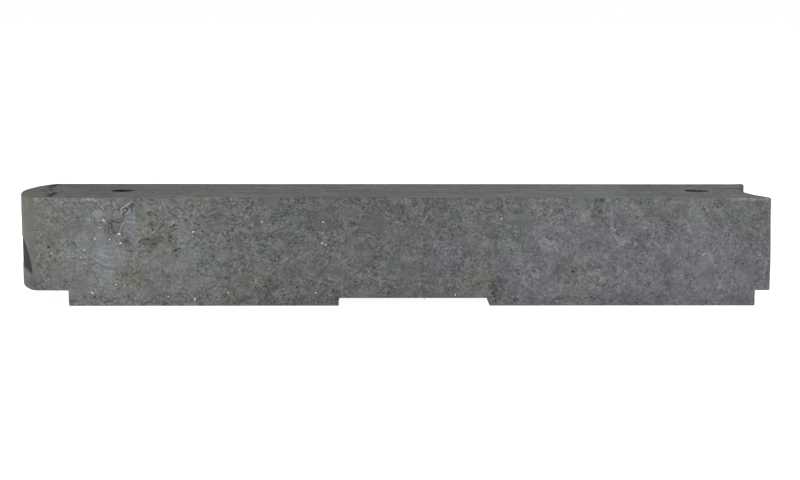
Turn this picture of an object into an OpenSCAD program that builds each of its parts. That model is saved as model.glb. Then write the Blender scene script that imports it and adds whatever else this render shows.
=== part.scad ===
// Bike lane separator: one heavy moulded block of recycled plastic that lies on
// the pavement. Its round nose swivels in the hollow end of the next block, two
// deep anchor holes pin it down, and water drains under its middle and its ends.
// Millimetres. +X runs along the block towards the hollow end, +Z is up, and the
// origin lies on the ground under the middle of the block.

/* [Block] */
// Length from the tip of the nose to the tips of the horns
block_length = 1830; // [1200:10:2400]
// Width across the long faces
block_width = 305; // [240:5:400]
// Height from the ground to the top face
block_height = 264; // [200:2:340]
// Rounding of the upper edges
edge_r = 5; // [2:1:10]

/* [Nose and hollow end] */
// Radius of the round nose, seen from above
nose_r = 260; // [210:5:340]
// Rounding of the two upright corners beside the nose
corner_r = 25; // [15:1:40]
// Gap between a seated nose and the hollow around it
joint_gap = 5; // [2:1:10]
// Blunt width of each horn tip beside the hollow
horn_tip = 12; // [8:1:20]

/* [Feet and drains] */
// Clear height under the two overhanging ends
end_drain_height = 38; // [20:1:50]
// Length of the overhang at the nose end
nose_overhang = 134; // [80:1:180]
// Length of the overhang at the hollow end, beside the hollow
horn_overhang = 35; // [20:1:60]
// Clear height of the drain under the middle
mid_drain_height = 19; // [10:1:30]
// Width of the drain under the middle
mid_drain_width = 362; // [200:2:460]
// Distance of the middle drain's centre from the middle of the block, towards the hollow end
mid_drain_shift = 52; // [0:2:100]

/* [Anchor holes] */
// Diameter of the recess for the anchor's head
recess_d = 59; // [44:1:76]
// Depth of the recess below the top face
recess_depth = 70; // [40:5:110]
// Diameter of the hole for the anchor's shank
shank_d = 28; // [18:1:36]
// Distance of the hole at the nose end from the tip of the nose
nose_hole_inset = 250; // [200:5:320]
// Distance of the hole at the hollow end from the tips of the horns
horn_hole_inset = 153; // [120:1:220]

/* [Hidden] */
$fn = 96;

half_l = block_length / 2;
half_w = block_width / 2;
// slack lets each cutter reach past the faces that it cuts
slack = 10;

// Round nose: its centre, and the centres of the two corner roundings that
// touch both the nose and the long faces
nose_centre_x = nose_r - half_l;
corner_y = half_w - corner_r;
corner_turn = asin(corner_y / (nose_r - corner_r));
corner_x = nose_centre_x - (nose_r - corner_r) * cos(corner_turn);

// Hollow end: the next block's nose and its gap, and the point on the axis
// where its arc leaves the blunt horn tips
hollow_r = nose_r + joint_gap;
horn_inner_y = half_w - horn_tip;
hollow_centre_x = half_l + sqrt(pow(hollow_r, 2) - pow(horn_inner_y, 2));

nose_hole_x = nose_hole_inset - half_l;
horn_hole_x = half_l - horn_hole_inset;

// What rounding takes off an edge whose corner lies at the origin, seen end on,
// with the slack around it
module edge_sliver() {
    difference() {
        translate([-edge_r, -edge_r]) square([edge_r + slack, edge_r + slack]);
        translate([-edge_r, -edge_r]) circle(r = edge_r);
    }
}

// Half section of a round post of the given radius, with its top edge rounded
module post_section(radius) {
    union() {
        square([radius - edge_r, block_height]);
        square([radius, block_height - edge_r]);
        translate([radius - edge_r, block_height - edge_r]) circle(r = edge_r);
    }
}

// Straight part of the block, with the upper long edges rounded
module bar() {
    translate([half_l, 0, 0]) rotate([90, 0, -90])
        linear_extrude(half_l - corner_x)
            union() {
                translate([-half_w, 0]) square([block_width, block_height - edge_r]);
                translate([edge_r - half_w, 0]) square([block_width - 2 * edge_r, block_height]);
                for (side = [-1, 1])
                    translate([side * (half_w - edge_r), block_height - edge_r])
                        circle(r = edge_r);
            }
}

// Slice of a round post that makes the nose, up to the corner roundings
module nose() {
    translate([nose_centre_x, 0, 0]) rotate([0, 0, 180 - corner_turn])
        rotate_extrude(angle = 2 * corner_turn) post_section(nose_r);
}

// Upright corner rounding between the nose and one long face
module corner(side) {
    translate([corner_x, side * corner_y, 0])
        rotate_extrude() post_section(corner_r);
}

// Hollow for the next block's nose, flared at the top edge
module hollow() {
    translate([hollow_centre_x, 0, 0]) {
        translate([0, 0, -slack]) cylinder(r = hollow_r, h = block_height + 2 * slack);
        rotate_extrude()
            difference() {
                translate([hollow_r - slack, block_height - edge_r])
                    square([slack + edge_r, edge_r + slack]);
                translate([hollow_r + edge_r, block_height - edge_r]) circle(r = edge_r);
            }
    }
}

// Rounding of the horns' upper end edge
module horn_edge_cut() {
    translate([half_l, half_w + slack, block_height]) rotate([90, 0, 0])
        linear_extrude(block_width + 2 * slack) edge_sliver();
}

// Space under the block from one X to another
module drain_cut(from_x, to_x, height) {
    translate([from_x, -half_w - slack, -slack])
        cube([to_x - from_x, block_width + 2 * slack, height + slack]);
}

// Hole for an anchor, with the recess for its head
module anchor_hole(x) {
    translate([x, 0, -slack]) cylinder(d = shank_d, h = block_height + 2 * slack);
    translate([x, 0, block_height - recess_depth]) cylinder(d = recess_d, h = recess_depth + slack);
}

module separator() {
    color("dimgray") difference() {
        union() {
            bar();
            nose();
            for (side = [-1, 1]) corner(side);
        }
        hollow();
        horn_edge_cut();
        drain_cut(-half_l - slack, nose_overhang - half_l, end_drain_height);
        drain_cut(half_l - horn_overhang, half_l + slack, end_drain_height);
        drain_cut(mid_drain_shift - mid_drain_width / 2,
                  mid_drain_shift + mid_drain_width / 2, mid_drain_height);
        for (x = [nose_hole_x, horn_hole_x]) anchor_hole(x);
    }
}

separator();
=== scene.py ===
import math

import bmesh
import bpy
from mathutils import Matrix, Vector, noise


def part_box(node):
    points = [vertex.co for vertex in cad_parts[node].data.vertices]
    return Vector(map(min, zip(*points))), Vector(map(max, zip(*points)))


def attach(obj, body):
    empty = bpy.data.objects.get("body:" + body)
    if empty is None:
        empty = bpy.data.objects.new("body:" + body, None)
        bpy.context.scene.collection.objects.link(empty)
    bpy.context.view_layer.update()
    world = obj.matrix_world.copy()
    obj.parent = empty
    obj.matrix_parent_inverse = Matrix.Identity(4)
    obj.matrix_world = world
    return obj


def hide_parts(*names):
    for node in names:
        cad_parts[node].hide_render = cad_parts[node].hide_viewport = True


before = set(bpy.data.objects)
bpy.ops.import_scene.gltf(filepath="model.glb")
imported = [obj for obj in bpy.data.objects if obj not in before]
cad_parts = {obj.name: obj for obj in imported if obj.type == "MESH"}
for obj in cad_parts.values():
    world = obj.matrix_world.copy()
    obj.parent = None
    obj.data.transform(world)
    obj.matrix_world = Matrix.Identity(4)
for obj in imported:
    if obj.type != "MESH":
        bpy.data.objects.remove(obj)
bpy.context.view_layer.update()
blockLow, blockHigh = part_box("separator")
print("frame loaded")

# Lengths are in metres, but marks, stains and crumbs are placed in millimetres
millimetre = 0.001
noise.seed_set(1)              # else noise_vector starts from the clock, and no two runs are alike


def between(low, high, value):
    # 0 below low, 1 above high, and a smooth rise between them
    part = min(max((value - low) / (high - low), 0.0), 1.0)
    return part * part * (3 - 2 * part)


# The block's mesh, in metres: a clean copy of the solid, cut into small cells that carry the relief
block = {
    "cell": 0.0015,    # the shortest cell
    "frontStride": 2,          # cells on the front are this many times longer
    "stride": 4,               # those on the other faces this many times
    "backStride": 6,           # those on the long face behind this many times
    "soleStride": 12,          # and those under the block this many times
    # windows in the front, from x to x and from z to z, and the stride within each
    "windows": (
        (-0.765, -0.609, 0.144, 0.270, 1), (-0.591, -0.507, 0.126, 0.210, 1),
        (-0.483, 0.237, -0.010, 0.270, 3)),
    "slack": 0.02,             # how far the cutters reach past the block
    "weld": 2e-5,              # corners nearer than this are one
    "flatTurn": math.radians(0.3),     # faces that turn less than this count as one
    "sharpTurn": math.radians(55),     # edges that turn more than this are rounded
    "topRound": 0.005,         # rounding of the upper edges
    "edgeRound": 0.0024,       # rounding of all the other edges
    "noseRadius": 0.260,
    "cornerRadius": 0.025,
    "hollowRadius": 0.265,
    "hornTip": 0.012,
    "endDrain": 0.038,         # heights of the drains
    "middleDrain": 0.019,
    "noseFoot": 0.134,         # from the nose's tip to where the foot begins
    "hornFoot": 0.035,
    "middleLow": -0.129,
    "middleHigh": 0.233,
    "recessRadius": 0.0295,
    "recessDepth": 0.070,
    "shankRadius": 0.014,
    "holes": (-0.665, 0.762),
}
noseCentreX = blockLow.x + block["noseRadius"]
cornerReach = block["noseRadius"] - block["cornerRadius"]
cornerY = blockHigh.y - block["cornerRadius"]
cornerX = noseCentreX - math.sqrt(cornerReach ** 2 - cornerY ** 2)
hornY = blockHigh.y - block["hornTip"]
hollowCentreX = blockHigh.x + math.sqrt(block["hollowRadius"] ** 2 - hornY ** 2)


def arcPoints(centreX, centreY, radius, start, end):
    # points on an arc, a long cell apart, without its last one
    count = max(2, math.ceil(abs(end - start) * radius / (block["stride"] * block["cell"])))
    turns = [start + (end - start) * i / count for i in range(count)]
    return [(centreX + radius * math.cos(turn), centreY + radius * math.sin(turn)) for turn in turns]


def planOutline():
    # round the block seen from above, from the front corner beside the nose
    noseTurn = math.asin(cornerY / cornerReach)
    hollowTurn = math.asin(hornY / block["hollowRadius"])
    return [
        (cornerX, blockLow.y), (blockHigh.x, blockLow.y),
        *arcPoints(hollowCentreX, 0, block["hollowRadius"], math.pi + hollowTurn, math.pi - hollowTurn),
        (blockHigh.x, hornY), (blockHigh.x, blockHigh.y),
        *arcPoints(cornerX, cornerY, block["cornerRadius"], math.pi / 2, math.pi - noseTurn),
        *arcPoints(noseCentreX, 0, block["noseRadius"], math.pi - noseTurn, math.pi + noseTurn),
        *arcPoints(cornerX, -cornerY, block["cornerRadius"], math.pi + noseTurn, 1.5 * math.pi),
    ]


def raiseFace(mesh, face, rise, spread=1.0, aroundX=0.0, first=False):
    # carries the face up on walls of its own, spreads it, and returns it; first keeps the old face
    region = [face, *face.edges]
    made = bmesh.ops.extrude_face_region(mesh, geom=region, use_keep_orig=first)["geom"]
    lid = [item for item in made if isinstance(item, bmesh.types.BMFace)][0]
    bmesh.ops.translate(mesh, verts=lid.verts, vec=(0, 0, rise))
    bmesh.ops.scale(
        mesh, verts=lid.verts, vec=(spread, spread, 1), space=Matrix.Translation((-aroundX, 0, 0)))
    return lid


def addBox(mesh, low, high):
    low, high = Vector(low), Vector(high)
    bmesh.ops.create_cube(
        mesh, size=1, matrix=Matrix.Translation((low + high) / 2) @ Matrix.Diagonal((*(high - low), 1)))


def addHoleCutter(mesh, x):
    # a stepped pin: the anchor's shank below, its head above
    head, slack = blockHigh.z - block["recessDepth"], block["slack"]
    count = 4 * math.ceil(block["recessRadius"] * math.pi / 3 / (block["frontStride"] * block["cell"]))
    made = bmesh.ops.create_circle(
        mesh, cap_ends=True, segments=count, radius=block["shankRadius"],
        matrix=Matrix.Translation((x, 0, -slack)))
    face = raiseFace(mesh, made["verts"][0].link_faces[0], head + slack, first=True)
    face = raiseFace(mesh, face, 0.0, block["recessRadius"] / block["shankRadius"], x)
    raiseFace(mesh, face, block["recessDepth"] + slack)


def pieceOf(name, mesh):
    data = bpy.data.meshes.new(name)
    bmesh.ops.recalc_face_normals(mesh, faces=mesh.faces)
    mesh.to_mesh(data)
    mesh.free()
    for face in data.polygons:
        face.use_smooth = True
    piece = bpy.data.objects.new(name, data)
    bpy.context.scene.collection.objects.link(piece)
    return piece


def plainBlock():
    # the block with its drains and holes, before any wear
    whole = bmesh.new()
    sole = whole.faces.new([whole.verts.new((x, y, blockLow.z)) for x, y in planOutline()])
    lid = raiseFace(whole, sole, blockHigh.z - blockLow.z, first=True)
    bmesh.ops.bevel(
        whole, geom=list(lid.edges), offset=block["topRound"], segments=4, profile=0.5,
        affect="EDGES", clamp_overlap=False, material=-1)
    cuts = bmesh.new()
    slack = block["slack"]
    beyond = blockHigh.y + slack
    for low, high, height in (
            (blockLow.x - slack, blockLow.x + block["noseFoot"], block["endDrain"]),
            (block["middleLow"], block["middleHigh"], block["middleDrain"]),
            (blockHigh.x - block["hornFoot"], blockHigh.x + slack, block["endDrain"])):
        addBox(cuts, (low, -beyond, -slack), (high, beyond, height))
    for x in block["holes"]:
        addHoleCutter(cuts, x)
    piece, cutter = pieceOf("plainBlock", whole), pieceOf("cutter", cuts)
    cutting = piece.modifiers.new("drainsAndHoles", "BOOLEAN")
    cutting.object, cutting.operation, cutting.solver = cutter, "DIFFERENCE", "EXACT"
    shaped = piece.evaluated_get(bpy.context.evaluated_depsgraph_get())
    mesh = bmesh.new()
    mesh.from_mesh(shaped.to_mesh())
    shaped.to_mesh_clear()
    for spare in (piece, cutter):
        bpy.data.objects.remove(spare)
    bmesh.ops.remove_doubles(mesh, verts=mesh.verts, dist=block["weld"])
    bmesh.ops.dissolve_limit(
        mesh, angle_limit=block["flatTurn"], verts=mesh.verts, edges=mesh.edges)
    return mesh


def roundEdges(mesh):
    sharp = [edge for edge in mesh.edges
             if len(edge.link_faces) == 2 and edge.calc_face_angle() > block["sharpTurn"]]
    bmesh.ops.bevel(
        mesh, geom=sharp, offset=block["edgeRound"], segments=2, profile=0.5,
        affect="EDGES", clamp_overlap=False, material=-1)


def isFront(face):
    # the long face in front and the front of the nose
    return face.normal.y < -0.1 and face.calc_center_median().y < -0.03 and face.normal.z > -0.5


def strideOf(face):
    centre = face.calc_center_median()
    if isFront(face):
        for lowX, highX, lowZ, highZ, stride in block["windows"]:
            if lowX < centre.x < highX and lowZ < centre.z < highZ:
                return stride
        return block["frontStride"]
    if face.normal.z < -0.999:
        return block["soleStride"]
    return block["backStride"] if face.normal.y > 0.95 else block["stride"]


def reachOf(face, axis):
    along = [vert.co[axis] for vert in face.verts]
    return min(along), max(along)


def splitAt(mesh, faces, axis, at):
    # cuts the faces by one plane, and returns what becomes of them
    normal = Vector((0, 0, 0))
    normal[axis] = 1.0
    # each edge and corner once, always in the same order, so that every run cuts alike
    edges = dict.fromkeys(edge for face in faces for edge in face.edges)
    verts = dict.fromkeys(vert for edge in edges for vert in edge.verts)
    done = bmesh.ops.bisect_plane(
        mesh, geom=[*verts, *edges, *faces], dist=block["weld"], plane_co=normal * at, plane_no=normal)
    return [item for item in done["geom"] if isinstance(item, bmesh.types.BMFace)]


def cutAcross(mesh, waiting, stride, axis, low, high):
    # cuts the waiting faces by planes a cell apart, each face by every one that its stride takes
    count = round((high - low) / block["cell"])
    for i in range(1, count):
        at = low + (high - low) * i / count
        due = [face for face in waiting if i % face[stride] == 0]
        if due:
            later = [face for face in waiting if i % face[stride] != 0]
            cut = splitAt(mesh, due, axis, at)
            waiting = later + [face for face in cut if reachOf(face, axis)[1] > at + block["weld"]]


def cutWindows(mesh):
    # parts the windows from the rest of the front
    for lowX, highX, lowZ, highZ, _ in block["windows"]:
        front = [face for face in mesh.faces if isFront(face)]
        for at in (lowX, highX):
            front = splitAt(mesh, front, 0, at)
        front = [face for face in front if lowX < face.calc_center_median().x < highX]
        for at in (lowZ, highZ):
            front = splitAt(mesh, front, 2, at)


def cutCells(mesh):
    # edges that only split a flat face are noted first, and go once the cells are cut
    splits = mesh.edges.layers.int.new("splitsFlat")
    for edge in mesh.edges:
        if len(edge.link_faces) == 2 and edge.calc_face_angle() < block["flatTurn"]:
            edge[splits] = 1
    cutWindows(mesh)
    wide = mesh.faces.layers.int.new("wideAlong")
    stride = mesh.faces.layers.int.new("stride")
    for face in mesh.faces:
        face[stride] = strideOf(face)
        for axis in range(3):
            near, far = reachOf(face, axis)
            if far - near > 1.2 * block["cell"] * face[stride]:
                face[wide] |= 1 << axis
    for axis in (0, 2, 1):
        waiting = [face for face in mesh.faces if face[wide] & 1 << axis]
        cutAcross(mesh, waiting, stride, axis, blockLow[axis], blockHigh[axis])
    spare = [edge for edge in mesh.edges if edge[splits]]
    bmesh.ops.dissolve_edges(mesh, edges=spare, use_verts=True)


# The relief: how far the surface lies inside the solid, in metres
relief = {
    "wave": 0.0006,            # slow waves along the faces
    "waveSize": 0.16,
    "flake": 0.0018,           # flakes with stepped rims, as in cleft slate
    "flakeSize": 0.060,
    "topStretch": 3.5,         # flakes on the top are this many times longer
    "lump": 0.0008,            # small lumps between them
    "lumpSize": 0.016,
    "pit": 0.0024,             # round pits
    "pitsApart": 0.045,
    "chip": 0.0016,            # chips along the edges
    "chipSize": 0.022,
    "chipReach": 0.012,        # how far from an edge they go
    "holeChip": 0.25,          # their share round the holes
    "topShare": 0.30,          # the top is smoother than the long faces
    "endShare": 0.30,          # and so are the nose and the hollow
    "scoop": 0.0010,           # shallow scoop low on the nose
    "wornTip": 0.0036,         # how far the horns' tips are worn back at their tops
    "tipSmooth": 0.85,         # share of the relief that they lack
}
# The scoop is a quarter round seen from the front: its edge runs from the upper tip down to the foot
scoop = {"low": 0.071, "high": 0.158, "tipX": -0.900, "reach": 0.0353, "bend": 0.7, "slope": 0.27}
# Gouges in the top: a path of (x, y), half width, depth
gouges = [
    ([(-852, 128), (-862, 108), (-864, 62)], 9.5, 6.0),
    ([(-860, 36), (-842, 4)], 6.0, 3.0),
    ([(-876, 44), (-862, 40)], 7.0, 2.0),
    ([(-872, 20), (-856, -20), (-846, -52)], 5.0, 1.6),
    ([(-829, -116), (-829, -72), (-825, -30)], 9.5, 6.5),
]
# Lines on the front face: a path of (x, z), half width, how much lighter, how much deeper. Their
# lightness is partly the plastic's own colour and partly painted highlight on the raised folds and
# painted shade in the sunken creases
frontLines = [
    # the fold's rim, pale with painted highlight, and the line inside it, dark with painted shade
    ([(-745, 256), (-738, 259), (-717, 259), (-709, 255)], 3.4, 0.46, -1.2),
    ([(-709, 255), (-700, 248), (-693, 238), (-688, 227)], 3.4, 0.26, -1.4),
    ([(-712, 249), (-701, 241), (-693, 231)], 2.4, -0.55, 1.2),
    # folds right of it, bright with painted highlights
    ([(-652, 236), (-645, 241), (-638, 244), (-630, 249), (-624, 253)], 2.6, 1.15, -1.2),
    ([(-652, 232), (-650, 227), (-651, 220)], 2.6, 0.85, -1.2),
    ([(-651, 220), (-647, 214)], 1.8, 0.50, -0.6),
    ([(-627, 237), (-631, 231), (-635, 227), (-640, 223)], 2.4, 0.95, -1.0),
    ([(-644, 234), (-640, 233)], 2.2, 0.60, -0.4),
    # creases between them, dark with painted shade
    ([(-651, 239), (-642, 237), (-634, 239)], 1.8, -0.45, 0.4),
    ([(-635, 237), (-636, 233), (-643, 227), (-648, 222)], 2.6, -0.56, 0.6),
    ([(-638, 221), (-643, 215)], 2.6, -0.52, 0.6),
    ([(-625, 235), (-623, 228)], 2.4, -0.40, 0.4),
    ([(-670, 243), (-664, 234), (-654, 238), (-643, 246)], 3.0, -0.28, 0.4),
    # a brow over the hollow, pale with painted highlight, and the streaks along the hollow's sides, dark
    # with painted shade
    ([(-711, 207), (-702, 208), (-693, 208), (-688, 202)], 2.4, 0.56, -0.6),
    ([(-706, 203), (-698, 205), (-692, 203)], 1.6, -0.45, 0.6),
    ([(-691, 191), (-679, 200)], 2.4, -0.58, 0.6),
    ([(-691, 183), (-685, 189)], 2.6, -0.58, 0.6),
    ([(-680, 192), (-676, 189)], 2.2, -0.36, 0.4),
    ([(-645, 202), (-651, 193), (-655, 184), (-659, 177)], 2.4, 0.85, -0.8),
    # level ripples
    ([(-638, 216), (-614, 215)], 2.2, 0.56, -0.4),
    ([(-636, 210), (-618, 210)], 2.0, -0.20, 0.4),
    ([(-642, 206), (-628, 204), (-613, 203)], 2.2, 0.56, -0.4),
    ([(-618, 237), (-619, 203)], 2.0, 0.40, -0.4),
    ([(-633, 198), (-612, 198)], 2.0, -0.24, 0.4),
    ([(-621, 190), (-590, 189)], 2.8, 0.18, -0.6),
    ([(-646, 182), (-627, 182)], 2.2, 0.45, -0.4),
    ([(-636, 186), (-625, 184)], 1.8, -0.45, 0.6),
    # slanting ripples, lower down
    ([(-712, 152), (-694, 144), (-676, 148)], 2.6, 0.26, -0.6),
    ([(-716, 141), (-698, 134), (-662, 137)], 2.8, 0.34, -0.8),
    ([(-706, 128), (-684, 119), (-656, 122)], 2.8, 0.38, -0.8),
    ([(-714, 113), (-690, 101), (-666, 99)], 3.0, 0.44, -1.0),
    ([(-708, 104), (-686, 91), (-668, 88)], 2.6, -0.24, 0.8),
    ([(-716, 92), (-700, 83), (-674, 84)], 2.8, 0.30, -0.8),
    ([(-704, 67), (-684, 58), (-668, 60)], 2.8, 0.26, -0.6),
    # the slanting fold: its pale streaks, the dark line above them, the cracks at its upper end
    ([(-571, 175), (-562, 171)], 2.2, 0.45, -0.6),
    ([(-560, 182), (-547, 190), (-536, 190)], 2.6, 0.36, -1.0),
    ([(-552, 172), (-547, 179), (-540, 184)], 2.6, 0.45, -1.0),
    ([(-531, 198), (-523, 204)], 2.8, 0.75, -1.0),
    ([(-519, 193), (-515, 193)], 2.0, 0.75, -0.6),
    ([(-576, 170), (-568, 179), (-561, 188), (-551, 197)], 2.6, -0.36, 0.6),
    ([(-534, 192), (-526, 194), (-521, 197), (-512, 196)], 2.6, -0.52, 0.5),
    ([(-529, 181), (-524, 187), (-516, 187)], 3.0, -0.50, 0.6),
    ([(-561, 168), (-552, 167)], 2.6, -0.36, 0.4),
    # crinkles of the right half
    ([(318, 186), (330, 176)], 4.0, 0.36, -0.8),
    ([(338, 182), (344, 166)], 4.0, 0.40, -0.8),
    ([(370, 161), (381, 150)], 4.0, 0.46, -1.0),
    ([(386, 158), (395, 148), (397, 136)], 4.0, 0.50, -1.0),
    ([(356, 152), (366, 140)], 3.5, 0.36, -0.8),
    ([(345, 206), (352, 226)], 4.0, 0.34, -0.8),
    ([(372, 110), (380, 92)], 3.5, 0.34, -0.8),
    ([(424, 188), (437, 163), (446, 134)], 3.6, 0.30, -0.8),
    ([(524, 246), (528, 190), (543, 160)], 4.0, 0.42, -1.0),
    ([(533, 205), (545, 172)], 3.5, -0.26, 0.8),
    ([(555, 66), (574, 84), (592, 107)], 3.4, 0.34, -0.8),
    ([(452, 112), (471, 84), (492, 62)], 3.4, 0.32, -0.8),
    ([(711, 204), (716, 186), (730, 156)], 4.2, 0.44, -1.0),
    ([(758, 140), (768, 122), (782, 94)], 3.8, 0.36, -0.8),
    ([(662, 150), (668, 128)], 3.4, 0.30, -0.6),
    # scratched edges near the right end
    ([(662, 250), (694, 252)], 3.2, 0.24, -0.6),
    ([(812, 257), (818, 260), (861, 260)], 2.8, 0.55, -0.6),
    ([(861, 260), (866, 256), (872, 260)], 2.8, 0.36, -0.6),
    ([(872, 260), (906, 260)], 3.4, 0.34, -0.6),
    ([(902, 260), (907, 258)], 3.0, 0.70, 0.0),
    ([(908.5, 262), (908.5, 222)], 2.6, 0.26, 0.0),
]
# Patches on the front face: middle, reach, how much lighter, how much deeper, how smooth, how rippled.
# Where a patch is both darker and deeper, its darkness is painted shade in the hollow
frontPatches = [
    ((-707, 225), (15, 16), 0.30, 0.4, 1.0, 0.0),
    ((-735, 243), (24, 10), -0.04, 0.4, 0.6, 0.0),
    ((-730, 221), (12, 16), 0.06, 0.0, 0.3, 0.0),
    ((-681, 224), (10, 24), -0.04, 0.4, 1.0, 0.0),
    ((-661, 224), (10, 11), 0.14, 0.0, 1.0, 0.0),
    ((-624, 244), (7, 9), -0.42, 0.8, 0.3, 0.0),
    ((-657, 208), (14, 6), -0.28, 1.2, 0.5, 0.0),
    ((-675, 206), (6, 4), -0.28, 0.8, 0.5, 0.0),
    ((-662, 192), (12, 13), -0.22, 1.8, 1.0, 0.0),
    ((-675, 180), (8, 9), -0.14, 1.4, 1.0, 0.0),
    ((-700, 172), (13, 7), 0.22, -0.4, 0.8, 0.0),
    ((-636, 153), (9, 8), -0.38, 1.0, 0.4, 0.0),
    ((-630, 200), (18, 26), 0.09, 0.0, 0.6, 0.0),
    ((-682, 112), (40, 46), 0.18, 0.0, 0.4, 0.25),
    ((-624, 79), (40, 30), -0.17, 0.0, 0.0, 0.0),
    ((-738, 155), (20, 26), 0.10, 0.0, 0.2, 0.0),
    ((-582, 157), (26, 7), -0.34, 1.0, 1.0, 0.0),
    ((-573, 147), (8, 8), -0.30, 1.0, 1.0, 0.0),
    ((-586, 225), (6, 6), -0.50, 1.0, 0.0, 0.0),
    ((-578, 200), (5, 5), -0.40, 0.8, 0.0, 0.0),
    ((-576, 188), (4, 5), -0.40, 0.8, 0.0, 0.0),
    ((-587, 165), (4, 4), -0.36, 0.8, 0.0, 0.0),
    ((-496, 209), (5, 5), -0.40, 0.8, 0.0, 0.0),
    ((-534, 158), (5, 4), -0.34, 0.8, 0.0, 0.0),
    ((-519, 123), (5, 5), -0.34, 0.8, 0.0, 0.0),
    ((-545, 218), (4, 4), 0.40, 0.0, 0.0, 0.0),
    ((-504, 145), (4, 4), 0.40, 0.0, 0.0, 0.0),
    ((-501, 135), (14, 6), -0.16, 0.0, 0.8, 0.0),
    ((-848, 225), (42, 40), 0.09, 0.0, 0.2, 0.0),
    ((-505, 125), (45, 30), 0.08, 0.0, 0.2, 0.0),
    ((-548, 114), (20, 10), -0.04, 0.0, 1.0, 0.0),
    ((-450, 64), (19, 12), 0.03, 0.0, 1.0, 0.0),
    ((-812, 80), (16, 26), -0.08, 0.0, 0.8, 0.0),
    ((497, 246), (13, 20), -0.40, 1.2, 0.0, 0.0),
    ((448, 248), (24, 12), 0.00, 0.0, 0.8, 0.0),
    ((464, 216), (19, 13), 0.26, -0.4, 0.4, 0.0),
    ((380, 152), (22, 18), 0.12, 0.0, 0.2, 0.0),
    ((325, 170), (18, 40), -0.08, 0.0, 0.8, 0.0),
    ((470, 175), (20, 18), -0.03, 0.0, 0.9, 0.0),
    ((405, 95), (10, 30), -0.16, 1.0, 0.6, 0.0),
    ((684, 50), (20, 26), -0.16, 0.8, 0.7, 0.0),
    ((765, 118), (20, 16), 0.14, 0.0, 0.2, 0.0),
    ((784, 248), (12, 10), -0.30, 0.8, 0.3, 0.0),
    ((883, 251), (10, 6), -0.24, 0.4, 0.4, 0.0),
    ((-303, 48), (20, 26), -0.22, 0.0, 0.0, 0.0),
    ((258, 44), (24, 30), -0.24, 0.0, 0.3, 0.0),
    ((-16, 120), (14, 10), -0.24, 0.0, 0.2, 0.0),
    ((91, 60), (22, 18), -0.12, 0.0, 0.3, 0.0),
    ((-160, 198), (16, 16), -0.18, 0.0, 0.6, 0.0),
    ((-42, 195), (34, 20), -0.10, 0.0, 0.6, 0.0),
    ((362, 180), (16, 34), 0.14, 0.0, 0.0, 0.0),
    ((728, 190), (18, 45), 0.13, 0.0, 0.2, 0.0),
    ((851, 190), (20, 45), -0.10, 0.0, 0.3, 0.0),
    ((-675, 45), (35, 22), 0.10, 0.0, 0.0, 0.0),
    ((-500, 64), (35, 20), 0.08, 0.0, 0.0, 0.0),
    ((852, 80), (28, 34), -0.05, 0.0, 0.9, 0.0),
]


def swirled(place, reach, size, seed):
    # a place carried off by a slow swirl, as in a molten mass
    return place + reach * noise.noise_vector(place / size + Vector((seed, -seed, 2 * seed)))


def scoopShare(place):
    rise = (place.z - scoop["low"]) / (scoop["high"] - scoop["low"])
    if rise > 1 or place.x > cornerX:
        return 0.0
    edgeX = scoop["tipX"] + scoop["reach"] * (1 - max(rise, 0.0) ** 2) ** scoop["bend"]
    sill = place.z - scoop["low"] - scoop["slope"] * (scoop["tipX"] + scoop["reach"] - place.x)
    return between(0, 0.004, edgeX - place.x) * between(0, 0.016, sill)


def offLine(point, path):
    # distance from a point to a path of straight stretches
    nearest = math.inf
    for start, end in zip(path, path[1:]):
        along = Vector(end) - Vector(start)
        part = min(max((point - Vector(start)).dot(along) / along.length_squared, 0.0), 1.0)
        nearest = min(nearest, (point - Vector(start) - part * along).length)
    return nearest


def gougeShare(place):
    # how far into a gouge the place lies, and how deep that gouge is
    if place.x > -0.78:
        return 0.0, 0.0
    wander = 0.005 * noise.noise_vector(place / 0.020)
    point = Vector((place.x + wander.x, place.y + wander.y)) / millimetre
    share, depth = max((between(1.1, 0.6, offLine(point, path) / width), deep)
                       for path, width, deep in gouges)
    return share, depth * millimetre


def frontMarks(place):
    # what the listed lines and patches do here: lighter, deeper, smooth, rippled
    wander = 0.0025 * noise.noise_vector(place / 0.018)
    ragged = 0.5 * noise.noise(place / 0.011)
    broken = 0.45 + 0.55 * between(-0.16, 0.06, ragged)
    point = Vector((place.x + wander.x, place.z + wander.z)) / millimetre
    lighter = deeper = smooth = rippled = 0.0
    for path, width, light, depth in frontLines:
        if abs(point.x - path[0][0]) < 100:
            share = between(1.1, 0.3, offLine(point, path) / width) * broken
            lighter += share * light
            deeper += share * depth
    for (x, z), (reachX, reachZ), light, depth, even, ripple in frontPatches:
        off = math.hypot((point.x - x) / reachX, (point.y - z) / reachZ)
        if off < 2.0:
            share = between(1.15, 0.80, off + ragged)
            lighter += share * light
            deeper += share * depth
            smooth = max(smooth, share * even)
            rippled = max(rippled, share * ripple)
    return max(lighter, -0.70), deeper * millimetre, smooth, rippled


def inHole(place, reach):
    return min(math.hypot(place.x - x, place.y) for x in block["holes"]) < reach


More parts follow.
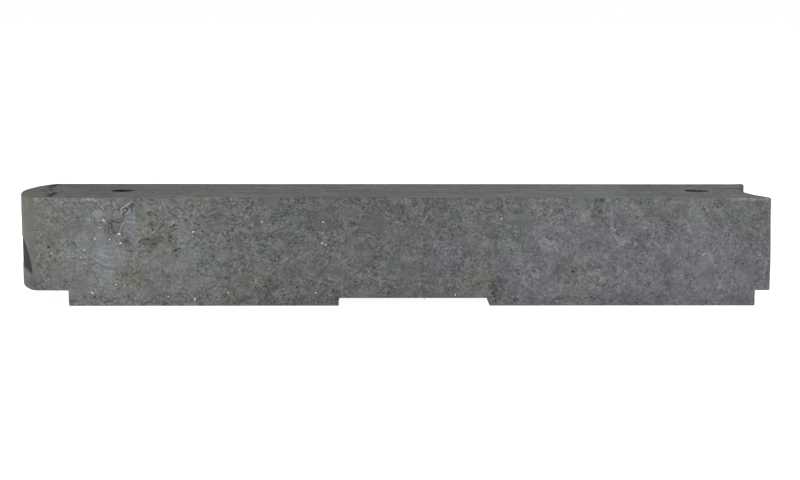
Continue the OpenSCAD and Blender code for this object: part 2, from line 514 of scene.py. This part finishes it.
def reliefDepth(place, facing, edgeShare):
    drawn = swirled(place, 0.020, 0.085, 3.0)
    upward = between(0.0, 0.8, facing.z)
    endward = between(0.3, 0.7, abs(facing.x)) if abs(place.x) > 0.78 else 0.0
    share = 1.0 - (1 - relief["topShare"]) * upward
    share = min(share, 1.0 - (1 - relief["endShare"]) * endward)
    if facing.z > 0.7:
        drawn.x /= relief["topStretch"]
    wave = 0.5 + 0.5 * noise.noise(place / relief["waveSize"])
    levels = 1.6 + 1.5 * noise.fractal(drawn / relief["flakeSize"], 0.9, 2.1, 3)
    step = math.floor(levels) + between(0.30, 0.70, levels - math.floor(levels))
    flake = min(max(1 - step / 3.2, 0.0), 1.0)
    octaves = 3 if facing.y < -0.5 else 2
    lump = 0.5 + 0.5 * noise.fractal(place / relief["lumpSize"], 0.8, 2.2, octaves)
    depth = relief["wave"] * wave * share
    depth += relief["flake"] * flake * share
    depth += relief["lump"] * lump * share
    far, points = noise.voronoi(place / relief["pitsApart"])
    pitSize = 0.10 + 0.08 * abs(noise.cell(points[0] * 5.1))
    if noise.cell(points[0] * 9.7) > 0.25 and far[0] < pitSize:
        depth += relief["pit"] * between(0, 1, 1 - far[0] / pitSize) * share
    if edgeShare > 0:
        nick = between(0.05, 0.75, noise.fractal(place / relief["chipSize"], 0.8, 2.3, 3))
        depth += relief["chip"] * nick * edgeShare * (relief["holeChip"] if inHole(place, 0.045) else 1)
    depth += relief["scoop"] * scoopShare(place)
    return depth * (1 - relief["tipSmooth"] * between(0.880, 0.905, place.x))


def edgeShares(mesh):
    # 1 on an edge of the block, falling to 0 where its chips end
    shares = [0.0] * len(mesh.verts)
    for vert in mesh.verts:
        for face in vert.link_faces:
            if face.normal.dot(vert.normal) < 0.96 and face.calc_area() > 1e-12:
                shares[vert.index] = 1.0
                break
    links = [(*(vert.index for vert in edge.verts), edge.calc_length() / relief["chipReach"])
             for edge in mesh.edges]
    for _ in range(8):
        spread = shares[:]
        for first, second, fall in links:
            spread[first] = max(spread[first], shares[second] - fall)
            spread[second] = max(spread[second], shares[first] - fall)
        shares = spread
    return shares


# Broad stains of the mixed plastic, as (x, z), reach in x and z, and strength.
# They run right through the block, so both long faces have them.
stains = {
    "olive": [
        ((-630, 70), (40, 40), 0.9), ((-568, 195), (48, 55), 0.9), ((-409, 45), (45, 30), 0.8),
        ((-327, 55), (55, 45), 0.8), ((-840, 170), (50, 120), 0.8), ((-25, 246), (30, 20), 0.9),
        ((207, 73), (35, 30), 0.9), ((445, 75), (60, 60), 0.55), ((-565, 155), (40, 30), 0.9),
        ((-670, 190), (20, 20), 0.9), ((185, 45), (35, 20), 0.7), ((-800, 70), (30, 30), 0.7),
        ((-460, 250), (45, 30), 0.7), ((-120, 135), (18, 12), 0.7),
    ],
    "moss": [
        ((-910, 240), (60, 70), 1.0), ((435, 85), (20, 25), 0.45), ((-340, 40), (50, 30), 0.4),
        ((-620, 80), (40, 40), 0.7),
    ],
    "teal": [
        ((-700, 60), (50, 30), 0.8), ((-476, 130), (40, 55), 0.9), ((-247, 215), (35, 45), 0.9),
        ((-163, 240), (30, 20), 0.9), ((-413, 112), (35, 30), 0.8), ((-303, 125), (25, 35), 0.8),
        ((300, 160), (50, 70), 0.9), ((540, 250), (200, 30), 0.6), ((534, 249), (30, 25), 0.9),
        ((611, 262), (30, 30), 0.9), ((-10, 99), (30, 25), 1.0), ((69, 43), (30, 18), 0.9),
        ((164, 231), (30, 20), 0.8), ((-725, 235), (45, 30), 1.0), ((-760, 130), (40, 50), 0.8),
        ((630, 115), (22, 25), 1.0), ((368, 80), (20, 40), 0.8), ((445, 245), (30, 20), 1.0),
        ((740, 220), (30, 40), 1.0), ((840, 230), (60, 30), 0.9),
    ],
    "blue": [
        ((-620, 200), (22, 35), 1.0), ((-685, 120), (45, 50), 1.0), ((317, 185), (30, 30), 0.9),
        ((368, 80), (15, 40), 0.8), ((840, 30), (50, 30), 0.6), ((69, 43), (30, 18), 0.7),
        ((630, 115), (22, 25), 0.6),
    ],
    "violet": [
        ((380, 110), (180, 120), 1.0), ((700, 80), (280, 140), 1.0), ((-550, 110), (40, 20), 0.3),
        ((126, 130), (75, 60), 0.8), ((550, 150), (150, 80), 1.0), ((-620, 160), (20, 20), 0.6),
    ],
}
# How light the plastic is along the block, as (x, share above or below the mean)
lightAlong = [
    (-900, 0.00), (-800, 0.03), (-720, 0.16), (-620, 0.07), (-500, 0.06), (-400, -0.09), (-250, -0.18),
    (-50, -0.17), (100, -0.14), (240, -0.07), (360, 0.05), (520, 0.06), (640, 0.02), (750, 0.17),
    (900, 0.06),
]
topLightAlong = [
    (-900, 0.02), (-860, 0.06), (-820, 0.00), (-720, -0.14), (-580, 0.01), (-400, 0.07), (-200, -0.08),
    (0, 0.02), (200, 0.13), (360, 0.10), (520, 0.35), (640, 0.03), (760, 0.19), (900, 0.14),
]


def stainShare(place, patches):
    total = 0.0
    for (x, z), (reachX, reachZ), strength in patches:
        off = math.hypot((place.x - x) / reachX, (place.z - z) / reachZ)
        total = max(total, strength * between(0, 1, 1.35 - off) if off < 1.35 else 0.0)
    return total


def lightShare(x, along):
    for (lowX, low), (highX, high) in zip(along, along[1:]):
        if x < highX:
            return low + (high - low) * between(lowX, highX, x)
    return along[-1][1]


# Dirt, wear, painted shade and painted highlights: how much lighter each makes the plastic
wearAndPaintedLight = {
    "endRimsWearAndHighlight": 0.26,           # the front's upper edge towards both ends, rubbed and with a painted highlight
    "rim": -0.04,              # that edge all along
    "hornRimWearAndHighlight": 0.30,           # that edge beside the hollow, rubbed and with a painted highlight
    # painted shade on the back's upper edge, which faces away from the lamps
    "backRimShade": -0.75,
    "topBack": -0.32,          # a darker strip along the back of the top
    "low": 0.04,               # the lower half of the sides
    "foot": -0.17,             # the foot of the sides
    # painted shade on the upper part of the hollow's wall
    "hollowWallShade": -0.60,
    "hole": -0.60,             # painted shade on the wall of a hole
    "holeFar": -0.30,          # more painted shade on that wall away from the block's middle
    "nose": -0.08,
    "noseHigh": -0.05,         # the upper part of the nose
    # painted shade along the very tip of the nose
    "noseTipShade": -0.18,
    "noseFoot": -0.30,
    "gougeShade": -200.0,           # painted shade in a gouge, for each metre of its depth
    "gougeShadeMost": -0.9,         # painted shade in a gouge at the most
}


def wearAndPaintedLightAt(place, facing, onNose):
    # how much lighter dirt, wear, painted shade and painted highlights make the plastic here
    onRim = between(0.2, 0.5, facing.z) * between(0.98, 0.85, facing.z)
    lighter = 0.0
    if facing.y < -0.2:
        # the front's upper edge is lighter towards both ends and beside the hollow: partly wear, partly
        # a painted highlight
        lighter += onRim * (wearAndPaintedLight["endRimsWearAndHighlight"] * between(0.50, 0.75, abs(place.x)) + wearAndPaintedLight["rim"])
        lighter += onRim * wearAndPaintedLight["hornRimWearAndHighlight"] * between(0.78, 0.82, place.x)
    elif facing.y > 0.2:
        # painted shade on the back's upper edge
        lighter += onRim * wearAndPaintedLight["backRimShade"]
    if facing.z > 0.5:
        lighter += wearAndPaintedLight["topBack"] * between(0.118, 0.140, place.y)
    else:
        lighter += wearAndPaintedLight["low"] * between(0.19, 0.13, place.z)
        lighter += wearAndPaintedLight["foot"] * between(0.040, 0.010, place.z)
    # painted shade high on the hollow's wall
    lighter += wearAndPaintedLight["hollowWallShade"] * between(0.2, 0.6, facing.x) * between(0.20, 0.25, place.z)
    # painted shade down the wall of each hole, deeper on its outer side
    if inHole(place, 0.033) and place.z < 0.2639:
        holeX = block["holes"][1 if place.x > 0 else 0]
        outward = between(-0.012, 0.008, abs(place.x) - abs(holeX))
        holeShadeShare = between(0.2637 + 0.0003 * outward, 0.2622, place.z)
        lighter += (wearAndPaintedLight["hole"] + wearAndPaintedLight["holeFar"] * outward) * holeShadeShare
    lighter += (wearAndPaintedLight["nose"] + wearAndPaintedLight["noseHigh"] * between(0.18, 0.22, place.z)) * onNose
    # painted shade along the nose's tip
    lighter += wearAndPaintedLight["noseTipShade"] * between(-0.902, -0.909, place.x) * onNose
    if facing.z < 0.5 and place.x < -0.79:
        lighter += wearAndPaintedLight["noseFoot"] * between(0.085, 0.050, place.z) * between(-0.82, -0.87, place.x)
    return lighter


def tintsAt(place, drawn, facing):
    # the share of each tint here; the nose and part of the top are olive throughout
    spot = drawn / millimetre
    tints = {tint: stainShare(spot, patches) for tint, patches in stains.items()}
    if facing.y > -0.7 and place.x < -0.78:
        tints["olive"] = max(tints["olive"], 0.9 * between(-0.78, -0.84, drawn.x))
    if facing.z > 0.7:
        onTop = between(0.16, 0.30, drawn.x) * between(0.50, 0.40, drawn.x)
        tints["teal"] *= 0.3
        tints["olive"] = max(tints["olive"], 0.6 * onTop)
    return tints


def creviceShading(mesh, depths, edges):
    # how far each corner lies below those around it: painted shade in the hollows, and a painted
    # highlight on the rises
    shares = []
    for vert in mesh.verts:
        around = [depths[edge.other_vert(vert).index] for edge in vert.link_edges]
        span = sum(edge.calc_length() for edge in vert.link_edges) / len(around)
        below = (depths[vert.index] - sum(around) / len(around)) / (20 * span ** 2)
        shares.append(min(max(below, -1.0), 1.0) * (1 - edges[vert.index]))
    return shares


def addRelief(mesh):
    # sinks the surface and returns what the plastic's colours need at each corner
    mesh.normal_update()
    mesh.verts.index_update()
    edges = edgeShares(mesh)
    facings = [vert.normal.copy() for vert in mesh.verts]
    depths = []
    rows = []
    for vert, facing, edge in zip(mesh.verts, facings, edges):
        place = vert.co.copy()
        depth = 0.0 if facing.z < -0.9 else reliefDepth(place, facing, edge)
        lighter = smooth = rippled = 0.0
        if facing.y < -0.35:
            lighter, deeper, smooth, rippled = frontMarks(place)
            depth = max(depth + deeper, 0.0)
        # gouges sink into the top and are painted darker the deeper they are: painted shade in them
        if facing.z > 0.5:
            gouged, deep = gougeShare(place)
            depth += gouged * deep
            lighter += max(wearAndPaintedLight["gougeShade"] * deep, wearAndPaintedLight["gougeShadeMost"]) * gouged
        depths.append(depth)
        onNose = between(cornerX + 0.004, cornerX - 0.012, place.x) * between(0.7, 0.4, abs(facing.z))
        drawn = swirled(swirled(place, 0.022, 0.11, 7.0), 0.014, 0.035, 11.0)
        along = topLightAlong if facing.z > 0.7 else lightAlong
        rows.append({
            **tintsAt(place, drawn, facing),
            "light": (lightShare(drawn.x / millimetre, along) + lighter
                      + wearAndPaintedLightAt(place, facing, onNose)),
            "smooth": max(smooth, 0.8 * onNose),
            "ripple": rippled,
            "crinkle": between(0.15, 0.40, drawn.x),
            "top": between(0.6, 0.9, facing.z),
            "crumbly": 1 - 0.12 * between(-0.36, -0.26, drawn.x) * between(0.30, 0.20, drawn.x),
        })
    shades = {name: [row[name] for row in rows] for name in rows[0]}
    shades["edge"] = edges
    shades["creviceShade"] = creviceShading(mesh, depths, edges)
    for vert, facing, depth in zip(mesh.verts, facings, depths):
        atTip = between(0.890, 0.912, vert.co.x) * between(0.10, 0.25, vert.co.z)
        vert.co -= facing * depth
        vert.co.x -= relief["wornTip"] * atTip
    return shades


def makeBlock():
    mesh = plainBlock()
    roundEdges(mesh)
    cutCells(mesh)
    shades = addRelief(mesh)
    mesh.normal_update()
    piece = pieceOf("mouldedBlock", mesh)
    for name, values in shades.items():
        piece.data.attributes.new(name, "FLOAT", "POINT").data.foreach_set("value", values)
    return piece


# Crumbs of other plastic in the front face: their shape, and each one's (x, z) and size
crumb = {
    "stretch": (1.25, 0.5, 0.85),    # along the face, into it and up it
    "turn": 2.4,               # each is turned this much further than the last
    "lump": 0.26,              # how lumpy it is, as a share of its size
    "sunk": 0.25,              # how deep its middle lies, as a share of its size
    "sunkLeast": 0.4,          # and how deep it lies at least
}
paleBits = [
    ((-656, 176), 7.6), ((-653, 153), 5.6), ((-714, 164), 4.8), ((-692, 209), 5.4), ((-478, 181), 6.6),
    ((-679, 163), 3.4), ((-740, 136), 3.6), ((-749, 119), 3.4), ((-723, 32), 5.4), ((-396, 33), 4.8),
    ((-477, 17), 5.4), ((-541, 23), 3.4), ((-666, 53), 3.8), ((-313, 205), 4.2), ((-167, 205), 4.2),
    ((-170, 154), 4.6), ((-160, 149), 4.2), ((-185, 32), 4.2), ((77, 17), 3.6), ((152, 27), 3.6),
    ((262, 213), 4.2), ((585, 152), 2.8), ((750, 125), 4.0), ((756, 127), 3.2), ((-818, 129), 3.0),
    ((-700, 191), 3.2), ((-725, 211), 2.8),
]
darkBits = [
    ((-825, 144), 5.8), ((-521, 137), 6.2), ((-527, 133), 4.2), ((-230, 46), 5.4), ((435, 84), 6.4),
    ((305, 78), 4.4), ((-718, 22), 5.4), ((250, 12), 5.4), ((-513, 141), 4.4), ((244, 30), 5.0),
    ((848, 103), 4.0), ((-383, 28), 4.4),
]


def makeBits(name, places):
    # rounded crumbs let into the front face and worn level with it
    mesh = bmesh.new()
    front = Vector((0, -1, 0))
    for i, ((x, z), size) in enumerate(places):
        place = Vector((x * millimetre, blockLow.y, z * millimetre))
        depth = max(reliefDepth(place, front, 0.0) + frontMarks(place)[1], 0.0)
        depth = max(depth, (crumb["sunkLeast"] + size * crumb["sunk"]) * millimetre)
        made = bmesh.ops.create_icosphere(mesh, subdivisions=2, radius=0.5)["verts"]
        for vert in made:
            vert.co += crumb["lump"] * noise.noise_vector(vert.co * 2.6 + place * 90)
        seat = Matrix.Translation(place + Vector((0, depth, 0)))
        turn = Matrix.Rotation(crumb["turn"] * i, 4, "Y")
        shape = Matrix.Diagonal((*(size * millimetre * share for share in crumb["stretch"]), 1))
        bmesh.ops.transform(mesh, matrix=seat @ turn @ shape, verts=made)
        for vert in made:
            vert.co.y = max(vert.co.y, blockLow.y)
    return pieceOf(name, mesh)


# The recycled plastic: dark grey with swirled tints, crinkles, pale flecks and pits
plastic = {
    "grey": (0.0846, 0.0851, 0.0854),
    "olive": (0.0830, 0.0853, 0.0772),
    "moss": (0.0826, 0.0856, 0.0712),
    "teal": (0.0786, 0.0866, 0.0850),
    "blue": (0.0808, 0.0853, 0.0912),
    "violet": (0.0840, 0.0827, 0.0942),
    "fleck": (0.36, 0.36, 0.335),
    "pit": (0.010, 0.010, 0.010),
    "roughness": 0.56,
    "specular": 0.2,
    "darkest": 0.15,           # the least share of its lightness that dirt and painted shade leave
}


def addNode(tree, kind, inputs=None, **settings):
    made = tree.nodes.new("ShaderNode" + kind)
    for name, value in settings.items():
        setattr(made, name, value)
    for name, value in (inputs or {}).items():
        if isinstance(value, bpy.types.NodeSocket):
            tree.links.new(value, made.inputs[name])
        else:
            made.inputs[name].default_value = value
    return made


def calc(tree, operation, *values, clamp=False):
    return addNode(
        tree, "Math", dict(enumerate(values)), operation=operation, use_clamp=clamp).outputs[0]


def chained(tree, operation, values):
    result = values[0]
    for value in values[1:]:
        result = calc(tree, operation, result, value)
    return result


def sumOf(tree, *values):
    return chained(tree, "ADD", values)


def productOf(tree, *values):
    return chained(tree, "MULTIPLY", values)


def scaled(tree, value, by, plus, clamp=False):
    return calc(tree, "MULTIPLY_ADD", value, by, plus, clamp=clamp)


def vectorCalc(tree, operation, *values):
    return addNode(tree, "VectorMath", dict(enumerate(values)), operation=operation).outputs[0]


def scaleVector(tree, vector, by):
    return addNode(tree, "VectorMath", {0: vector, "Scale": by}, operation="SCALE").outputs[0]


def noiseOf(tree, where, size, detail, roughness, shift=0.0):
    moved = addNode(tree, "Mapping", {"Vector": where, "Location": (shift, -shift, shift / 2)})
    return addNode(
        tree, "TexNoise", {"Vector": moved.outputs[0], "Scale": 1 / size, "Detail": detail,
                           "Roughness": roughness}).outputs[0]


def ramp(tree, value, low, high, toLow=0.0, toHigh=1.0):
    return addNode(
        tree, "MapRange", {"Value": value, "From Min": low, "From Max": high,
                           "To Min": toLow, "To Max": toHigh},
        interpolation_type="SMOOTHSTEP").outputs[0]


def lineOf(tree, value, width):
    # a line along which the value crosses its middle
    off = calc(tree, "ABSOLUTE", calc(tree, "SUBTRACT", value, 0.5))
    return ramp(tree, off, 0.0, width, 1.0, 0.0)


def mixColour(tree, share, first, second):
    made = addNode(tree, "Mix", {"Factor": share}, data_type="RGBA")
    for socket, value in ((made.inputs[6], first), (made.inputs[7], second)):
        if isinstance(value, bpy.types.NodeSocket):
            tree.links.new(value, socket)
        else:
            socket.default_value = (*value, 1)
    return made.outputs[2]


def attributeOf(tree, name):
    return addNode(tree, "Attribute", attribute_name=name).outputs["Fac"]


def dotsOf(tree, where, size, reach, share, shift):
    # scattered dots: 1 in the middle of a dot, for a share of the cells
    moved = addNode(tree, "Mapping", {"Vector": where, "Location": (shift, shift, -shift)})
    cells = addNode(tree, "TexVoronoi", {"Vector": moved.outputs[0], "Scale": 1 / size})
    pick = addNode(tree, "SeparateColor", {"Color": cells.outputs["Color"]})
    chosen = calc(tree, "LESS_THAN", pick.outputs[0], share)
    radius = scaled(tree, pick.outputs[1], reach / size, 0.4 * reach / size)
    off = calc(tree, "DIVIDE", cells.outputs["Distance"], radius)
    dot = calc(tree, "SUBTRACT", 1.0, off, clamp=True)
    return productOf(tree, calc(tree, "MULTIPLY", dot, 3.0, clamp=True), chosen)


def scoopShadeMask(tree, place):
    # the same outline as scoopShare gives
    axes = addNode(tree, "SeparateXYZ", {"Vector": place})
    x, z = axes.outputs[0], axes.outputs[2]
    height = scoop["high"] - scoop["low"]
    rise = scaled(tree, z, 1 / height, -scoop["low"] / height, clamp=True)
    left = calc(tree, "SUBTRACT", 1.0, calc(tree, "POWER", rise, 2.0))
    edgeX = scaled(tree, calc(tree, "POWER", left, scoop["bend"]), scoop["reach"], scoop["tipX"])
    inside = ramp(tree, calc(tree, "SUBTRACT", edgeX, x), 0.0, 0.0025)
    foot = scoop["low"] + scoop["slope"] * (scoop["tipX"] + scoop["reach"])
    sill = calc(tree, "SUBTRACT", scaled(tree, x, scoop["slope"], z), foot)
    below = calc(tree, "LESS_THAN", z, scoop["high"])
    return productOf(tree, inside, ramp(tree, sill, 0.0, 0.014), below)


def startPlastic(name):
    material = bpy.data.materials.new(name)
    material.use_nodes = True
    tree = material.node_tree
    shader = tree.nodes["Principled BSDF"]
    shader.inputs["Specular IOR Level"].default_value = plastic["specular"]
    return material, tree, shader, addNode(tree, "TexCoord").outputs["Object"]


def addBump(tree, shader, height, strength, distance):
    bump = addNode(tree, "Bump", {"Height": height, "Strength": strength, "Distance": distance})
    tree.links.new(bump.outputs[0], shader.inputs["Normal"])


def tinted(tree, drawn):
    # the grey with its tints, each ragged at the edges of its stains
    colour = plastic["grey"]
    for tint, shift in (
            ("violet", 8.4), ("teal", 4.4), ("blue", 2.4), ("olive", 0.4), ("moss", 6.4)):
        ragged = noiseOf(tree, drawn, 0.026, 4.0, 0.6, shift=shift)
        share = sumOf(tree, attributeOf(tree, tint), scaled(tree, ragged, 2.4, -1.2))
        colour = mixColour(tree, ramp(tree, share, 0.05, 0.95), colour, plastic[tint])
    return colour


def makePlastic():
    material, tree, shader, place = startPlastic("recycledPlastic")

    # places carried along by a swirl and drawn out lengthwise, so that every pattern looks poured
    swirl = addNode(tree, "TexNoise", {"Vector": place, "Scale": 14.0, "Detail": 1.0}).outputs["Color"]
    centred = vectorCalc(tree, "SUBTRACT", swirl, (0.5, 0.5, 0.5))
    poured = vectorCalc(tree, "ADD", place, scaleVector(tree, centred, 0.045))
    drawn = addNode(tree, "Mapping", {"Vector": poured, "Scale": (0.75, 1.0, 1.0)}).outputs[0]
    streaked = addNode(tree, "Mapping", {"Vector": place, "Scale": (0.12, 1, 1)}).outputs[0]

    broad = noiseOf(tree, drawn, 0.050, 3.0, 0.6, shift=3.1)
    mottle = noiseOf(tree, drawn, 0.024, 3.0, 0.6, shift=1.7)
    flake = noiseOf(tree, drawn, 0.034, 3.0, 0.5, shift=5.3)
    chipped = noiseOf(tree, drawn, 0.011, 3.0, 0.6, shift=7.7)
    grain = noiseOf(tree, drawn, 0.0070, 3.0, 0.70, shift=0.9)
    dust = noiseOf(tree, place, 0.0038, 2.0, 0.6, shift=2.2)
    wrinkle = noiseOf(tree, poured, 0.018, 2.0, 0.5, shift=6.1)
    drift = noiseOf(tree, streaked, 0.022, 3.0, 0.65, shift=9.4)

    # how crumbly the plastic is: smooth in some patches, gravelly in others
    crinkled = attributeOf(tree, "crinkle")
    crumbly = attributeOf(tree, "crumbly")
    even = productOf(tree, scaled(tree, attributeOf(tree, "smooth"), -0.85, 1.0), crumbly)
    rough = productOf(
        tree, ramp(tree, broad, 0.36, 0.56, 0.35, 1.0), even, scaled(tree, crinkled, -0.1, 1.0))

    step = ramp(tree, flake, 0.46, 0.54)
    smallStep = ramp(tree, chipped, 0.46, 0.56)
    crumbs = ramp(tree, dust, 0.56, 0.68)
    holes = ramp(tree, dust, 0.42, 0.30)
    # a crinkled skin: wandering lines, and a network of them in places
    shifted = vectorCalc(tree, "ADD", poured, scaleVector(tree, swirl, 0.02))
    cells = addNode(tree, "TexVoronoi", {"Vector": shifted, "Scale": 85.0}, feature="DISTANCE_TO_EDGE")
    network = productOf(
        tree, ramp(tree, cells.outputs["Distance"], 0.0, 0.10, 1.0, 0.0), ramp(tree, mottle, 0.46, 0.60))
    crinkle = productOf(
        tree, calc(tree, "MAXIMUM", lineOf(tree, wrinkle, 0.030), network),
        scaled(tree, crinkled, 0.8, 0.2))
    # ripples run level or slant gently down towards the hollow end
    axes = addNode(tree, "SeparateXYZ", {"Vector": poured})
    slanted = scaled(tree, axes.outputs[0], 0.25, axes.outputs[2])
    ripple = productOf(
        tree, calc(tree, "SINE", productOf(tree, slanted, 2 * math.pi / 0.0115)),
        attributeOf(tree, "ripple"))

    light = sumOf(
        tree,
        scaled(tree, ramp(tree, broad, 0.30, 0.70), 0.15, -0.085),
        productOf(tree, scaled(tree, ramp(tree, mottle, 0.32, 0.68), 0.32, -0.17), even),
        productOf(tree, scaled(tree, smallStep, 0.18, -0.10), rough),
        productOf(tree, scaled(tree, grain, 2.2, -1.1), rough),
        productOf(tree, scaled(tree, dust, 1.5, -0.75), rough),
        productOf(tree, crumbs, rough, 0.46),
        productOf(tree, holes, rough, -0.12),
        productOf(
            tree, scaled(tree, ramp(tree, drift, 0.35, 0.65), 0.44, -0.22), attributeOf(tree, "top")),
        productOf(tree, lineOf(tree, flake, 0.025), 0.05),
        productOf(tree, crinkle, 0.40),
        productOf(tree, ripple, 0.13),
        # painted shade in the hollows of the relief, and a painted highlight on its rises
        productOf(tree, attributeOf(tree, "creviceShade"), -0.08),
        # the block's edges a little lighter, partly worn and partly a painted highlight
        productOf(tree, attributeOf(tree, "edge"), 0.10),
        attributeOf(tree, "light"),
        1.0)
    # the scoop low on the nose is painted about three quarters darker: painted shade in it
    scoopShade = scoopShadeMask(tree, place)
    light = productOf(tree, light, scaled(tree, scoopShade, -0.74, 1.0))
    light = calc(tree, "MAXIMUM", light, plastic["darkest"])

    flecks = productOf(tree, dotsOf(tree, place, 0.026, 0.0024, 0.40, 0.31), even)
    pits = dotsOf(tree, place, 0.020, 0.0022, 0.40, 0.77)
    colour = scaleVector(tree, tinted(tree, drawn), light)
    colour = mixColour(tree, flecks, colour, plastic["fleck"])
    colour = mixColour(tree, productOf(tree, pits, 0.45), colour, plastic["pit"])
    tree.links.new(colour, shader.inputs["Base Color"])

    height = sumOf(
        tree,
        productOf(tree, step, 0.9, even),
        productOf(tree, smallStep, 0.45, rough),
        productOf(tree, mottle, 1.6, even),
        productOf(tree, grain, 1.4, rough),
        productOf(tree, dust, 0.5, rough),
        productOf(tree, crinkle, 0.3),
        productOf(tree, ripple, 0.35),
        productOf(tree, pits, -0.8))
    addBump(tree, shader, height, 1.0, 0.0016)
    # worn smooth in the even patches, dull where it is crumbly and in the shaded scoop low on the nose
    dull = sumOf(
        tree, productOf(tree, rough, 0.16), productOf(tree, scoopShade, 0.30),
        scaled(tree, mottle, 0.30, -0.15), plastic["roughness"])
    tree.links.new(dull, shader.inputs["Roughness"])
    return material


def makeCrumbPlastic(name, colour):
    # plain plastic of another colour, a little blotchy and scuffed
    material, tree, shader, place = startPlastic(name)
    blotch = noiseOf(tree, place, 0.0015, 2.0, 0.6)
    shade = scaleVector(tree, colour, scaled(tree, blotch, 0.8, 0.6))
    tree.links.new(shade, shader.inputs["Base Color"])
    tree.links.new(scaled(tree, blotch, 0.3, 0.45), shader.inputs["Roughness"])
    addBump(tree, shader, blotch, 0.5, 0.0003)
    return material


mouldedBlock = makeBlock()
mouldedBlock.data.materials.append(makePlastic())
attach(mouldedBlock, "root")
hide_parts("separator")
print("block made", sum(len(face.vertices) - 2 for face in mouldedBlock.data.polygons), "triangles")

for name, places, colour in (
        ("paleCrumbs", paleBits, plastic["fleck"]), ("darkCrumbs", darkBits, plastic["pit"])):
    crumbs = makeBits(name, places)
    crumbs.data.materials.append(makeCrumbPlastic(name + "Plastic", colour))
    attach(crumbs, "root")
print("crumbs made")

# The studio: a pale floor that glows a little, a pale room and soft boxes
studio = {
    "floorReach": 60.0,
    "floorColour": (0.45, 0.45, 0.45, 1),
    "floorRoughness": 0.9,
    "glowColour": (1, 1, 1, 1),
    "floorGlow": 0.93,
    "backdrop": 1.0,           # what shows behind the block
    "room": 0.60,              # what the room sheds on it
    # soft boxes: place, what each one faces, size, power
    "softboxes": {
        "keySoftbox": ((-1.7, -3.7, 2.5), (0.0, 0, 0.13), (1.2, 1.2), 170),
        "topSoftbox": ((0.2, 0.3, 2.6), (0.0, 0, 0.26), (2.4, 0.8), 12),
    },
}


def makeFloor():
    mesh = bmesh.new()
    bmesh.ops.create_circle(mesh, cap_ends=True, segments=64, radius=studio["floorReach"])
    data = bpy.data.meshes.new("studioFloor")
    mesh.to_mesh(data)
    mesh.free()
    floor = bpy.data.objects.new("studioFloor", data)
    bpy.context.scene.collection.objects.link(floor)
    paint = bpy.data.materials.new("floorPaint")
    paint.use_nodes = True
    shader = paint.node_tree.nodes["Principled BSDF"]
    shader.inputs["Base Color"].default_value = studio["floorColour"]
    shader.inputs["Roughness"].default_value = studio["floorRoughness"]
    shader.inputs["Emission Color"].default_value = studio["glowColour"]
    shader.inputs["Emission Strength"].default_value = studio["floorGlow"]
    data.materials.append(paint)


def lightRoom():
    room = bpy.data.worlds.new("studioRoom")
    bpy.context.scene.world = room
    room.use_nodes = True
    tree = room.node_tree
    seen = addNode(tree, "LightPath").outputs["Is Camera Ray"]
    glow = scaled(tree, seen, studio["backdrop"] - studio["room"], studio["room"])
    tree.nodes["Background"].inputs["Color"].default_value = studio["glowColour"]
    tree.links.new(glow, tree.nodes["Background"].inputs["Strength"])


def addSoftbox(name, place, target, size, power):
    light = bpy.data.lights.new(name, "AREA")
    light.shape = "RECTANGLE"
    light.size, light.size_y = size
    light.energy = power
    lamp = bpy.data.objects.new(name, light)
    bpy.context.scene.collection.objects.link(lamp)
    lamp.location = place
    lamp.rotation_euler = (Vector(target) - Vector(place)).to_track_quat("-Z", "Y").to_euler()


makeFloor()
lightRoom()
for name, softbox in studio["softboxes"].items():
    addSoftbox(name, *softbox)
print("studio lit")

# The camera stands where the block is seen almost square on, from a little above
view = {
    "place": (-0.0440, -3.9594, 0.7184),
    "pitch": 0.1453,
    "turn": 0.01625,
    "roll": 0.0023,
    "lens": 72.0,
    "sensor": 36.0,
}


def addCamera():
    data = bpy.data.cameras.new("viewCamera")
    data.lens = view["lens"]
    data.sensor_width = view["sensor"]
    camera = bpy.data.objects.new("viewCamera", data)
    bpy.context.scene.collection.objects.link(camera)
    camera.matrix_world = (
        Matrix.Translation(view["place"])
        @ Matrix.Rotation(-view["turn"], 4, "Z")
        @ Matrix.Rotation(math.pi / 2 - view["pitch"], 4, "X")
        @ Matrix.Rotation(view["roll"], 4, "Z"))
    bpy.context.scene.camera = camera


addCamera()
bpy.context.scene.view_settings.view_transform = "Standard"
print("camera placed")
